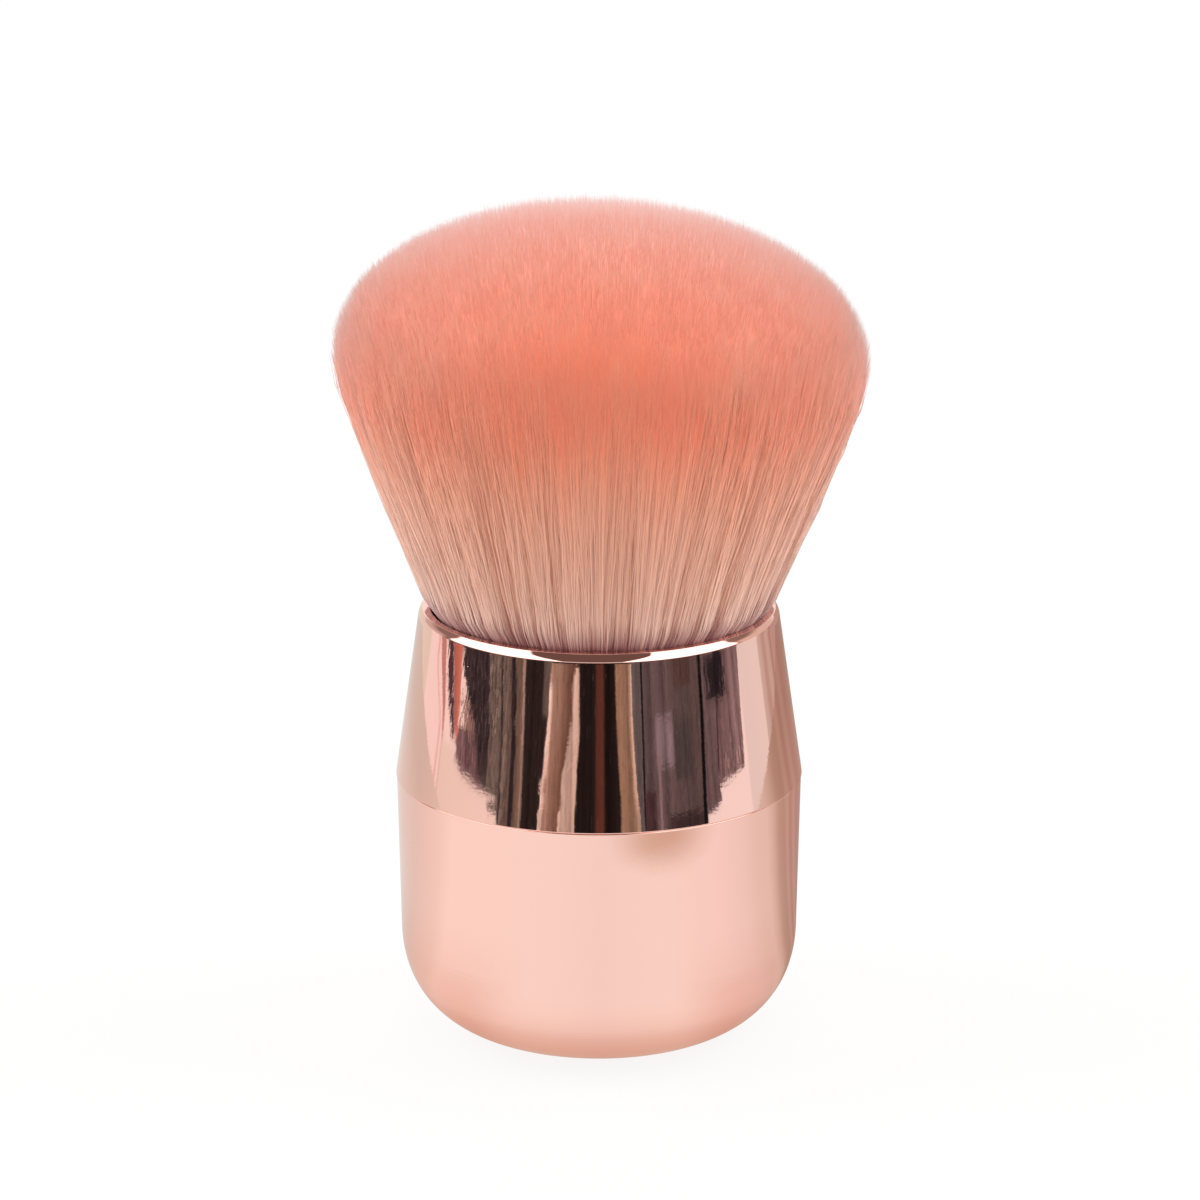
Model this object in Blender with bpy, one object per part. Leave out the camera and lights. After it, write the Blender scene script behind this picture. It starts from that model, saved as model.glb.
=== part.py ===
"""Stubby blush brush that stands on its foot: a plated two-piece handle, a cupped tuft and a hidden weight.

Units are metres and +Z is up. The origin is the centre of the flat foot. Every piece is turned about the
Z axis, and each is placed by its own location on that axis. It goes together on a bench in this order: the
weight is glued into the base cup and the tuft into its own cup, the tuft cup is pushed up into the collar,
and the collar is glued on the base cup's neck.
"""
import math

import bmesh
import bpy
from mathutils import Vector

# Outside of the handle
HANDLE_DIAMETER = 0.0390
SEAM_HEIGHT = 0.0253
COLLAR_HEIGHT = 0.0165
RIM_DIAMETER = 0.0341
SEAM_STEP = 0.00012
WALL_TAPER = 0.0003
FOOT_DIAMETER = 0.017
CORNER_HEIGHT = 0.0105
CORNER_POWER = 2.25

# Outside of the bristle head, with its widest ring and its dome
HEAD_DIAMETER = 0.0512
WIDEST_RISE = 0.0247
DOME_RISE = 0.0142

# Walls, ledges and edges of the two handle pieces
COLLAR_WALL = 0.00105
NECK_HEIGHT = 0.0058
NECK_WALL = 0.0013
FLOOR_THICKNESS = 0.0022
LEDGE_THICKNESS = 0.0012
COLLAR_EDGE_ROUND = 0.0003
SHOULDER_ROUND = 0.0002
NECK_CHAMFER = 0.0004
LIP_ROUND_SHARE = 0.46

# Tuft cup, which the neck carries by its flange
CUP_WALL = 0.0012
CUP_FLOOR = 0.0015
CUP_SINK = 0.005
FLANGE_THICKNESS = 0.0012
MOUTH_DEPTH = 0.0038

# Glue and the slice of it that the strands are set in
ROOT_DEPTH = 0.0045
SLICE_THICKNESS = 0.0015

# Weight in the foot and the adhesive pool that holds it
WEIGHT_DIAMETER = 0.020
WEIGHT_HEIGHT = 0.013
WEIGHT_CHAMFER = 0.0008
POOL_BED = 0.001
POOL_DEPTH = 0.004

# Gap that neighbouring pieces keep to each other
CLEARANCE = 0.0003

# Strands of the tuft
STRAND_COUNT = 400
STRAND_SIDES = 4
GOLDEN_ANGLE = math.pi * (3 - math.sqrt(5))
STRAND_FILL_SHARE = 0.44
TIP_CROWD_SHARE = 0.45
BEND_SHARE = 0.88
BEND_RADIUS_SHARE = 0.968
ROOT_SINK_SHARE = 0.5

# Facets
OUTER_STEPS = 60
INNER_STEPS = 36
CORNER_STEPS = 10
POOL_STEPS = 4
FILLET_STEPS = 3
MERGE_DISTANCE = 0.000001
SHARP_ANGLE = math.radians(32)

# Heights and radii that several pieces share
SHOULDER_HEIGHT = SEAM_HEIGHT - CLEARANCE
NECK_TOP = SEAM_HEIGHT + NECK_HEIGHT
RIM_HEIGHT = SEAM_HEIGHT + COLLAR_HEIGHT
FLANGE_HEIGHT = NECK_TOP + CLEARANCE
LEDGE_HEIGHT = FLANGE_HEIGHT + FLANGE_THICKNESS + CLEARANCE
CUP_HEIGHT = NECK_TOP - CUP_SINK
CUP_MOUTH = RIM_HEIGHT - MOUTH_DEPTH
ROOT_HEIGHT = RIM_HEIGHT - ROOT_DEPTH
WIDEST_HEIGHT = RIM_HEIGHT + WIDEST_RISE


def collar_outer_radius(height):
    """Radius of the collar's cone at a height above the foot."""
    share = (height - SEAM_HEIGHT) / COLLAR_HEIGHT
    return (HANDLE_DIAMETER + (RIM_DIAMETER - HANDLE_DIAMETER) * share) / 2


def collar_inner_radius(height):
    """Radius of the collar's plain bore at a height above the foot."""
    return collar_outer_radius(height) - COLLAR_WALL


NECK_BORE = collar_inner_radius(NECK_TOP) - CLEARANCE - NECK_WALL
CUP_OUTER = min(NECK_BORE, collar_inner_radius(CUP_MOUTH)) - CLEARANCE
CUP_INNER = CUP_OUTER - CUP_WALL


def superellipse_corner(flat, wall, low, height, reach, steps):
    """Points that rise from a flat floor of radius flat towards a wall, as far as reach above the floor."""
    last_turn = math.acos((1 - reach / height) ** (CORNER_POWER / 2))
    points = []
    for step in range(steps + 1):
        turn = last_turn * step / steps
        across = math.sin(turn) ** (2 / CORNER_POWER)
        rise = 1 - math.cos(turn) ** (2 / CORNER_POWER)
        points.append((flat + (wall - flat) * across, low + height * rise))
    return points


def filleted(before, corner, after, radius):
    """Points of the arc that rounds a corner between two straight stretches of an outline."""
    here = Vector(corner)
    back = (Vector(before) - here).normalized()
    ahead = (Vector(after) - here).normalized()
    half_angle = back.angle(ahead) / 2
    centre = here + (back + ahead).normalized() * (radius / math.sin(half_angle))
    start = here + back * (radius / math.tan(half_angle)) - centre
    end = here + ahead * (radius / math.tan(half_angle)) - centre
    spokes = [start.lerp(end, step / FILLET_STEPS).normalized() for step in range(FILLET_STEPS + 1)]
    return [tuple(centre + spoke * radius) for spoke in spokes]


def plain_material(name, colour, metallic, roughness):
    """A Principled material with one colour."""
    material = bpy.data.materials.new(name)
    material.use_nodes = True
    shader = material.node_tree.nodes["Principled BSDF"]
    shader.inputs["Base Color"].default_value = (*colour, 1)
    shader.inputs["Metallic"].default_value = metallic
    shader.inputs["Roughness"].default_value = roughness
    return material


def place(name, mesh, height, material):
    """Makes the piece's object, at its height on the brush's axis."""
    mesh.materials.append(material)
    piece = bpy.data.objects.new(name, mesh)
    piece.location = (0, 0, height)
    piece.parent = bpy.data.objects["brush"]
    bpy.context.collection.objects.link(piece)
    return piece


def turned(name, outline, steps):
    """A mesh spun about Z from a closed outline of (radius, height) points."""
    mesh = bpy.data.meshes.new(name)
    shape = bmesh.new()
    verts = [shape.verts.new((radius, 0, height)) for radius, height in outline]
    edges = [shape.edges.new(pair) for pair in zip(verts, verts[1:])]
    if outline[0][0] > 0:
        edges.append(shape.edges.new((verts[-1], verts[0])))
    bmesh.ops.spin(
        shape, geom=verts + edges, cent=(0, 0, 0), axis=(0, 0, 1), angle=2 * math.pi, steps=steps)
    bmesh.ops.remove_doubles(shape, verts=shape.verts, dist=MERGE_DISTANCE)
    bmesh.ops.dissolve_degenerate(shape, edges=shape.edges, dist=MERGE_DISTANCE)
    bmesh.ops.recalc_face_normals(shape, faces=shape.faces)
    shape.to_mesh(mesh)
    shape.free()
    mesh.shade_smooth()
    mesh.set_sharp_from_angle(angle=SHARP_ANGLE)
    return mesh


def disc(name, radius, height):
    """A mesh of a plain round disc, centred on its own middle, with one flat face at each end."""
    mesh = bpy.data.meshes.new(name)
    shape = bmesh.new()
    bmesh.ops.create_cone(
        shape, cap_ends=True, segments=INNER_STEPS, radius1=radius, radius2=radius, depth=height)
    shape.to_mesh(mesh)
    shape.free()
    mesh.shade_smooth()
    mesh.set_sharp_from_angle(angle=SHARP_ANGLE)
    return mesh


def make_base_cup():
    """The handle's lower shell: flat foot, soft corner, and a neck that the collar slides over."""
    foot = FOOT_DIAMETER / 2
    shoulder = HANDLE_DIAMETER / 2 - SEAM_STEP
    low_wall = shoulder - WALL_TAPER
    neck_low = collar_inner_radius(SEAM_HEIGHT) - CLEARANCE
    neck_high = collar_inner_radius(NECK_TOP) - CLEARANCE
    corner = superellipse_corner(foot, low_wall, 0, CORNER_HEIGHT, CORNER_HEIGHT, CORNER_STEPS)
    inner_corner = superellipse_corner(
        foot, NECK_BORE, FLOOR_THICKNESS, CORNER_HEIGHT, CORNER_HEIGHT, CORNER_STEPS)
    neck_root = (neck_low, SHOULDER_HEIGHT)
    outline = [(0, 0)]
    outline += corner
    outline += filleted(corner[-1], (shoulder, SHOULDER_HEIGHT), neck_root, SHOULDER_ROUND)
    outline += [
        neck_root,
        (neck_high, NECK_TOP - NECK_CHAMFER),
        (neck_high - NECK_CHAMFER, NECK_TOP),
        (NECK_BORE, NECK_TOP),
    ]
    outline += reversed(inner_corner)
    outline += [(0, FLOOR_THICKNESS)]
    plating = plain_material("rose_gold_base", (0.93, 0.62, 0.53), 1.0, 0.08)
    place("base_cup", turned("base_cup", outline, OUTER_STEPS), 0, plating)


def make_collar():
    """The handle's upper ring: a cone with a rounded lip, and a ledge inside that holds the tuft cup."""
    lip_round = COLLAR_WALL * LIP_ROUND_SHARE
    ledge_bore = CUP_OUTER + CLEARANCE
    ledge_low = LEDGE_HEIGHT - SEAM_HEIGHT
    ledge_high = ledge_low + LEDGE_THICKNESS
    bottom_inner = (collar_inner_radius(SEAM_HEIGHT), 0)
    bottom_outer = (collar_outer_radius(SEAM_HEIGHT), 0)
    top_outer = (collar_outer_radius(RIM_HEIGHT), COLLAR_HEIGHT)
    top_inner = (collar_inner_radius(RIM_HEIGHT), COLLAR_HEIGHT)
    above_ledge = (collar_inner_radius(LEDGE_HEIGHT + LEDGE_THICKNESS), ledge_high)
    outline = [bottom_inner]
    outline += filleted(bottom_inner, bottom_outer, top_outer, COLLAR_EDGE_ROUND)
    outline += filleted(bottom_outer, top_outer, top_inner, lip_round)
    outline += filleted(top_outer, top_inner, above_ledge, lip_round)
    outline += [
        above_ledge,
        (ledge_bore, ledge_high),
        (ledge_bore, ledge_low),
        (collar_inner_radius(LEDGE_HEIGHT), ledge_low),
    ]
    plating = plain_material("rose_gold_collar", (0.93, 0.62, 0.53), 1.0, 0.06)
    place("collar", turned("collar", outline, OUTER_STEPS), SEAM_HEIGHT, plating)


def make_tuft_cup():
    """The plastic cup that the bristles are glued in, with a flange between neck and ledge."""
    flange = collar_inner_radius(FLANGE_HEIGHT + FLANGE_THICKNESS) - CLEARANCE
    flange_low = FLANGE_HEIGHT - CUP_HEIGHT
    flange_high = flange_low + FLANGE_THICKNESS
    mouth = CUP_MOUTH - CUP_HEIGHT
    outline = [
        (0, 0),
        (CUP_OUTER, 0),
        (CUP_OUTER, flange_low),
        (flange, flange_low),
        (flange, flange_high),
        (CUP_OUTER, flange_high),
        (CUP_OUTER, mouth),
        (CUP_INNER, mouth),
        (CUP_INNER, CUP_FLOOR),
        (0, CUP_FLOOR),
    ]
    plastic = plain_material("black_plastic", (0.03, 0.028, 0.027), 0.0, 0.5)
    place("tuft_cup", turned("tuft_cup", outline, INNER_STEPS), CUP_HEIGHT, plastic)


def make_glue_plug():
    """The cured glue between the cup's floor and the slice that the strands stand in."""
    low = CUP_HEIGHT + CUP_FLOOR + CLEARANCE
    height = ROOT_HEIGHT - SLICE_THICKNESS - CLEARANCE - low
    glue = plain_material("amber_glue", (0.55, 0.36, 0.15), 0.0, 0.3)
    place("glue_plug", disc("glue_plug", CUP_INNER - CLEARANCE, height), low + height / 2, glue)


def make_weight_adhesive():
    """The pool of adhesive on the base cup's floor, with a pocket that the weight stands in."""
    low = FLOOR_THICKNESS + CLEARANCE
    pocket = WEIGHT_DIAMETER / 2 + CLEARANCE
    pool_edge = superellipse_corner(
        FOOT_DIAMETER / 2, NECK_BORE - CLEARANCE, 0, CORNER_HEIGHT, POOL_DEPTH, POOL_STEPS)
    outline = [(0, 0)]
    outline += pool_edge
    outline += [(pocket, POOL_DEPTH), (pocket, POOL_BED), (0, POOL_BED)]
    adhesive = plain_material("milky_adhesive", (0.78, 0.72, 0.6), 0.0, 0.45)
    place("weight_adhesive", turned("weight_adhesive", outline, INNER_STEPS), low, adhesive)


def make_counterweight():
    """The steel slug that keeps the brush upright on its foot."""
    radius = WEIGHT_DIAMETER / 2
    outline = [
        (0, 0),
        (radius - WEIGHT_CHAMFER, 0),
        (radius, WEIGHT_CHAMFER),
        (radius, WEIGHT_HEIGHT - WEIGHT_CHAMFER),
        (radius - WEIGHT_CHAMFER, WEIGHT_HEIGHT),
        (0, WEIGHT_HEIGHT),
    ]
    low = FLOOR_THICKNESS + CLEARANCE + POOL_BED + CLEARANCE
    steel = plain_material("dull_steel", (0.42, 0.41, 0.4), 1.0, 0.45)
    place("counterweight", turned("counterweight", outline, INNER_STEPS), low, steel)


def tip_spread(share):
    """Share of the head's radius at which a strand ends, from the share of the bundle's where it starts."""
    return share * math.sqrt(1 + TIP_CROWD_SHARE * (1 - share * share))


def tip_spread_slope(share):
    """How fast tip_spread grows, by which a strand's section is stretched or flattened along the radius."""
    growth = 1 + TIP_CROWD_SHARE * (1 - 2 * share * share)
    return growth / math.sqrt(1 + TIP_CROWD_SHARE * (1 - share * share))


def strand_ring(shape, angle, radius, height, across, along):
    """The corners of a strand's diamond section, across the radius and along it."""
    outward = Vector((math.cos(angle), math.sin(angle), 0))
    sideways = Vector((-math.sin(angle), math.cos(angle), 0))
    centre = outward * radius + Vector((0, 0, height))
    corners = []
    for side in range(STRAND_SIDES):
        turn = 2 * math.pi * side / STRAND_SIDES
        offset = outward * (math.cos(turn) * along) + sideways * (math.sin(turn) * across)
        corners.append(shape.verts.new(centre + offset))
    return corners


def make_bristle_tuft():
    """The strands, spread from their roots to the dome without crossing, and fused to a slice of the glue.

    The roots follow a sunflower spiral. Each strand leans straight outwards to a bend near its tip, where
    it is thickest, and closes to a point on the dome. Its sections at root and bend have one shape, so that
    its sides are flat.
    """
    head = HEAD_DIAMETER / 2
    bend_high = ROOT_HEIGHT + BEND_SHARE * (WIDEST_HEIGHT - ROOT_HEIGHT)
    bend_out = head * BEND_RADIUS_SHARE
    rim_limit = collar_inner_radius(RIM_HEIGHT) - CLEARANCE
    lean = (bend_out - rim_limit) / (bend_high - RIM_HEIGHT)
    bundle = min(rim_limit - lean * ROOT_DEPTH, CUP_INNER - CLEARANCE)
    pitch_share = math.sqrt(math.pi / STRAND_COUNT)
    thick_share = STRAND_FILL_SHARE * pitch_share
    root_reach = bundle / (1 + thick_share)
    root_low = ROOT_HEIGHT - SLICE_THICKNESS * ROOT_SINK_SHARE

    shape = bmesh.new()
    for strand in range(STRAND_COUNT):
        share = math.sqrt((strand + 0.5) / STRAND_COUNT)
        angle = strand * GOLDEN_ANGLE
        spread = tip_spread(share)
        tip_height = WIDEST_HEIGHT + DOME_RISE * math.sqrt(1 - spread * spread)
        bend_height = ROOT_HEIGHT + BEND_SHARE * (tip_height - ROOT_HEIGHT)
        bend_radius = bend_out / (1 + thick_share) * spread
        across = bend_out * thick_share * spread / share
        along = bend_out * thick_share * tip_spread_slope(share)
        root_across = root_reach * thick_share
        root_along = root_across * along / across
        tip_radius = head * spread
        root = strand_ring(shape, angle, root_reach * share, root_low, root_across, root_along)
        bend = strand_ring(shape, angle, bend_radius, bend_height, across, along)
        tip = shape.verts.new((tip_radius * math.cos(angle), tip_radius * math.sin(angle), tip_height))
        shape.faces.new(reversed(root))
        for side in range(STRAND_SIDES):
            beside = (side + 1) % STRAND_SIDES
            shape.faces.new((root[side], root[beside], bend[beside], bend[side]))
            shape.faces.new((bend[side], bend[beside], tip))
    strands = bpy.data.meshes.new("strands")
    shape.to_mesh(strands)
    shape.free()

    bristle = plain_material("coral_bristle", (0.86, 0.42, 0.29), 0.0, 0.6)
    glue_slice = disc("bristle_tuft", CUP_INNER - CLEARANCE, SLICE_THICKNESS)
    tuft = place("bristle_tuft", glue_slice, ROOT_HEIGHT - SLICE_THICKNESS / 2, bristle)

    guide = place("strands_guide", strands, 0, bristle)
    guide.hide_render = True
    guide.display_type = "WIRE"
    fuse = tuft.modifiers.new("fuse_strands", "BOOLEAN")
    fuse.operation = "UNION"
    fuse.solver = "EXACT"
    fuse.object = guide


def build():
    """Clears the scene and makes the whole brush."""
    for old in list(bpy.data.objects):
        bpy.data.objects.remove(old)
    brush = bpy.data.objects.new("brush", None)
    bpy.context.collection.objects.link(brush)
    make_base_cup()
    make_collar()
    make_tuft_cup()
    make_glue_plug()
    make_weight_adhesive()
    make_counterweight()
    make_bristle_tuft()


build()
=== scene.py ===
"""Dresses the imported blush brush: its mirror handle, its fine bristles, and the studio that it stands in.

Units are metres in the frame's own axes: +Z is up, the foot stands on Z = 0 and the camera looks along +Y.
Azimuths grow to the right of the camera's side, which is azimuth 0.
"""
import math

import bmesh
import bpy
import numpy as np
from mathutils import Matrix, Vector
from mathutils.kdtree import KDTree


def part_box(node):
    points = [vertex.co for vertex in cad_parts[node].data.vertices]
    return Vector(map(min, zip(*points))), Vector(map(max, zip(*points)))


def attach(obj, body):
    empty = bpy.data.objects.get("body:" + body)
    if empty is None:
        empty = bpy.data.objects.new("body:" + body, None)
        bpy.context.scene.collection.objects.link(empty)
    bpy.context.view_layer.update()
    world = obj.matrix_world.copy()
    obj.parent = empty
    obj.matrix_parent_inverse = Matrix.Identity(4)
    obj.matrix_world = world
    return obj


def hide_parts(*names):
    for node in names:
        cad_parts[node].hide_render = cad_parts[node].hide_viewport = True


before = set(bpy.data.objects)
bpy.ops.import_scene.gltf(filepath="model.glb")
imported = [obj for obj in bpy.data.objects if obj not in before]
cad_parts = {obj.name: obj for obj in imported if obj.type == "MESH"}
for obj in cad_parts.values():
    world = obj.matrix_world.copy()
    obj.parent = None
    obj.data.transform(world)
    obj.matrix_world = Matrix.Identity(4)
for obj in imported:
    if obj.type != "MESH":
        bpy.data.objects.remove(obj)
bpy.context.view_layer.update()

BODY = "root"
SEED = 7

# Handle sizes that the frame's boxes don't give
RIM_RADIUS = 0.01705
COLLAR_WALL = 0.00105
LEDGE_BORE = 0.0160
LEDGE_RISE = 0.0076
LEDGE_THICKNESS = 0.0012
FOOT_RADIUS = 0.0085
CORNER_HEIGHT = 0.0105
CORNER_POWER = 2.25
WALL_TAPER = 0.0003
FLOOR_THICKNESS = 0.0022
NECK_WALL = 0.0013
NECK_GAP = 0.0003
LIP_BEVEL_HEIGHT = 0.00052
LIP_BEVEL_WIDTH = 0.00028
LIP_BEVEL_ROUND = 0.0013
LIP_EDGE_ROUND = 0.00012
COLLAR_EDGE_ROUND = 0.00008
SHOULDER_ROUND = 0.00012
SEAM_GAP = 0.000015
BRACE = 0.00004
BRACED_LENGTH = 8 * BRACE
WELD_DISTANCE = 1e-7
SHARP_ANGLE = math.radians(40)
HANDLE_STEPS = 256
HIDDEN_STEPS = 64
FILLET_STEPS = 8
CORNER_STEPS = 36

# Plating, with its ripple, its orange peel, the film that dulls it unevenly and its specks of dust
PLATING = (0.985, 0.62, 0.53)
COLLAR_ROUGHNESS = 0.03
BASE_ROUGHNESS = 0.05
RIPPLE_SCALE = 300
RIPPLE_DEPTH = 0.000006
PEEL_SCALE = 3000
PEEL_DEPTH = 0.0000008
FILM_SCALE = 120
FILM_NOISE = (0.4, 0.75)
FILM_SHARES = (0.8, 1.7)
DUST_COLOUR = (0.80, 0.70, 0.64)
DUST_SCALE = 500
DUST_CHANCE = (0.80, 1.0)
DUST_SIZE = (0.0, 0.045)
DUST_METAL = 0.3
DUST_ROUGHNESS = 0.5

# Mottled finishes of the hidden pieces: name, colour, metallic value and roughness
MOTTLE_SCALE = 400
MOTTLE_NOISE = (0.3, 0.7)
MOTTLE_SHADES = (0.8, 1.15)
MOTTLE_GLOSS = (0.85, 1.15)
INNER_FINISHES = {
    "tuft_cup": ("black_plastic", (0.03, 0.028, 0.027), 0.0, 0.5),
    "glue_plug": ("amber_glue", (0.55, 0.36, 0.15), 0.0, 0.3),
    "weight_adhesive": ("milky_adhesive", (0.78, 0.72, 0.6), 0.0, 0.45),
    "counterweight": ("dull_steel", (0.42, 0.41, 0.4), 1.0, 0.45),
}
GLUE_FACE_FINISH = ("glue_face", (0.25, 0.12, 0.07), 0.0, 0.4)
HEART_FINISH = ("packed_filaments", (0.60, 0.22, 0.14), 0.0, 0.7)

# Outline of the tuft, and how far its surface looks up. A span is a stretch of the way from root to tip.
ROOT_DEPTH = 0.0045
WIDEST_RISE = 0.0247
ROOT_REACH = 0.01365
HEAD_SHARE = 0.998
HEAD_SHIFT = 0.00022
DOME_SHARE = 0.965
DOME_POWER = 0.52
DOME_TILT = 0.027
TIP_CROWDING = 0.45
SIDE_BULGE = 0.079
BULGE_POWER = 4
BULGE_RISE_SPAN = (0.1, 0.2)
BULGE_FALL_SPAN = (0.8, 1.0)
SIDE_LIFT = 0.35
SIDE_LIFT_SPAN = (0.45, 0.85)
TOP_SPAN = (0.8, 1.0)

# Strands. Those within the full reach are tips that start inside the core.
STRAND_COUNT = 80000
STRAND_SIDES = 3
STRAND_RADIUS = 0.000046
STRAND_TAPER = 0.5
STRAND_TAPER_SPAN = (0.6, 1.0)
CORNER_LEAN = 0.5
FULL_REACH_SHARE = 0.88
FULL_SHARES = (0, 0.11, 0.2, 0.34, 0.52, 0.7, 0.87, 1)
SHORT_SHARES = (0.905, 0.96, 1)
SECTORS = 14

# How strands stray: by themselves, and towards the fine and the coarse clump that each belongs to
STRAND_JITTER = 0.004
STRAND_SWING = 0.025
SWING_PIVOT = 0.45
STRAND_DRIFT = 0.018
TIP_UNEVENNESS = 0.0003
TIP_UNEVENNESS_SPAN = (0.5, 1.0)
WAVE_SIZE = 0.00016
WAVE_COUNTS = (0.6, 2.0)
WAVE_SPAN = (0.12, 0.4)
WILD_CHANCE = 0.003
WILD_EXTRA = 2
CLUMP_COUNTS = (5000, 320)
CLUMP_JITTER = 0.4
CLUMP_PULLS = (0.42, 0.16)
CLUMP_SWINGS = (0.035, 0.008)
PULL_POWER = 1.5
GATHER_SPAN = (0.05, 0.6)
LOOSE_SPAN = (0.75, 1.0)
LOOSE_SHARE = 0.6

# Tones from 0, dark, to 1, light, which the bristle map's U holds side by side
TONES = 16
TONE_PARTS = (0.25, 0.45, 0.3)
TONE_CONTRAST = 2.0
HIGHEST_TONE = 0.999
# Painted shade: inner whole strands and the core's lower part take darker tones, as in the gaps between
# strands
INNER_SHADE_SHARE = 0.8
UNSHADED_REACH = 0.96
CORE_SHADE_TONES = (0.3, 0.85)
CORE_SHADE_SPAN = (0.72, 0.88)
MAP_MARGIN = 0.1
ROOT_MAP_RISE = 0.01

# The core, with reaches and heights as shares of the bundle's, and the heart inside it
CORE_REACH = 0.89
CORE_TOP = 0.962
CORE_SHOULDER_REACH = 0.8
CORE_SHOULDER_LOW = 0.88
CORE_TURNS = 144
CORE_SIDE_RINGS = 36
CORE_SHOULDER_RINGS = 10
CORE_DOME_RINGS = 30
HEART_RADII = (0.011, 0.019)

# Look of a filament. Its colour runs from root to tip, with painted shade at the root, shifted by its tone.
# A tone also shades it, as random tone and in part as painted shade in the gaps.
BRISTLE_ROUGHNESS = 0.45
SHEEN_ROUGHNESS = 0.52
SHEEN_TINT = (1.0, 0.93, 0.94)
# The two dark stops at the root are painted shade, where the strands go down into the collar
DYE_AND_ROOT_SHADE = (
    (0.0, (0.17, 0.045, 0.05)),
    (0.15, (0.32, 0.10, 0.105)),
    (0.26, (0.89, 0.54, 0.42)),
    (0.46, (0.93, 0.50, 0.355)),
    (0.64, (0.96, 0.46, 0.31)),
    (0.8, (0.96, 0.37, 0.22)),
    (0.93, (0.97, 0.275, 0.145)),
    (1.0, (0.96, 0.225, 0.11)),
)
DYE_TONE = 0.45
DYE_SHIFTS = (0.05, 0.26)
DYE_SHIFT_SPAN = (0.15, 0.5)
# Colour factors by tone: random tone, and at the dark end painted shade in the gaps
TONE_AND_GAP_SHADES = ((0.0, (0.74, 0.48, 0.36)), (0.5, (0.94, 0.87, 0.83)), (1.0, (1.0, 1.0, 1.0)))
CALM_SHARE = 0.85
CALM_SPAN = (0.86, 0.99)
PALE_TIP = (1.0, 0.50, 0.40)
PALE_SHARE = 0.14
PALE_SPAN = (0.95, 1.0)

# Camera, set to the photograph's frame
CAMERA_ELEVATION = 15.85
CAMERA_DISTANCE = 0.45
CAMERA_TARGET = (0.0001, 0, 0.0422)
CAMERA_CLIP = (0.01, 20)
SENSOR = 36.0
FOCAL_PIXELS = 4737
FRAME_PIXELS = 1200

# Floor, and the tints of a painted reflection that only the mirror sees in it:
# by reach in metres, and by azimuth in degrees
FLOOR_RADIUS = 4.0
FLOOR_SEGMENTS = 96
FLOOR_COLOUR = (0.90, 0.89, 0.88)
FLOOR_ROUGHNESS = 0.9
FLOOR_GLOW_SHARE = 0.88
REACH_TINTS_END = 0.2
# Salmon near the foot is painted bounce light and shadow from the brush
REACH_TINTS = (
    (0.008, (0.58, 0.35, 0.26)),
    (0.0144, (0.76, 0.55, 0.46)),
    (0.0176, (0.85, 0.71, 0.65)),
    (0.02, (0.95, 0.87, 0.83)),
    (0.0248, (1.0, 0.97, 0.96)),
    (0.032, (1.0, 1.0, 1.0)),
    (0.1, (1.0, 1.0, 1.0)),
    (0.16, (0.85, 0.84, 0.81)),
)
# Darker at the back sides, partly as painted shadow of the brush
AZIMUTH_TINTS = (
    (-150, (0.80, 0.80, 0.78)),
    (-118, (0.79, 0.78, 0.76)),
    (-104, (0.86, 0.83, 0.81)),
    (-92, (0.91, 0.90, 0.88)),
    (-82, (1.0, 1.0, 1.0)),
    (-20, (0.97, 1.0, 1.0)),
    (0, (0.94, 0.96, 0.97)),
    (30, (0.97, 1.0, 1.0)),
    (62, (0.95, 0.93, 0.94)),
    (80, (0.88, 0.85, 0.86)),
    (92, (0.81, 0.77, 0.74)),
    (100, (0.80, 0.75, 0.73)),
    (106, (0.69, 0.62, 0.56)),
    (112, (0.54, 0.44, 0.38)),
    (119, (0.49, 0.38, 0.33)),
    (123, (0.57, 0.44, 0.39)),
    (128, (0.47, 0.32, 0.28)),
    (134, (0.54, 0.40, 0.35)),
    (140, (0.47, 0.31, 0.27)),
    (165, (0.50, 0.36, 0.31)),
    (180, (0.80, 0.80, 0.78)),
)

# A dark patch and a painted shadow beside the foot, in the floor's painted reflection, with azimuths in
# radians
DARK_PATCH_TINT = (0.70, 0.58, 0.49)
DARK_PATCH_AZIMUTHS = (-0.02, 1.16)
DARK_PATCH_REACHES = (0.070, 0.098)
DARK_PATCH_FADE = (0.1, 1.0)
SHADE_TINT = (0.91, 0.81, 0.77)
SHADE_AZIMUTHS = (0.5, 1.1)
SHADE_REACHES = (0.024, 0.055)

# Room card, a glowing painted reflection that only the mirror sees.
# The collar mirrors a band of it that is lower towards the sides.
ROOM_RADIUS = 0.2
ROOM_LOW = 0.0002
ROOM_HEIGHT = 0.055
ROOM_COLUMNS = 1440
ROOM_ROWS = 150
BAND_LOW = 0.016
BAND_HEIGHT = 0.023
NARROWEST_BAR = 0.1
END_SOFTNESS = (0.8, 0.5)
END_RAGGEDNESS = (0.9, 0.15)
# Grain and glow at the ragged ends of the painted reflection
GRAINY_RIGHT_AZIMUTHS = (70, 76)
GRAINY_RIGHT_BANDS = (0.4, 0.6)
GRAINY_LEFT_AZIMUTHS = (-66, -38)
WALL_COLOUR = (0.96, 0.93, 0.93)
DARK_COLOUR = (0.030, 0.024, 0.030)
SPECKLE_BLOCK = (2, 3)
STREAK_BANDS = (0.3, 0.66, 1.15)
STREAK_LAYERS = ((1.3, 0.22), (3.1, 0.16))
STREAK_LIMITS = (0.3, 2)
GRAIN_DEPTHS = (0.10, 0.28)
GRAIN_GLOW = 0.02
# Bright specks: painted glints in the reflection
GLINT_CHANCE = 0.0025
GLINT_GLOW = 0.12

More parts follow.
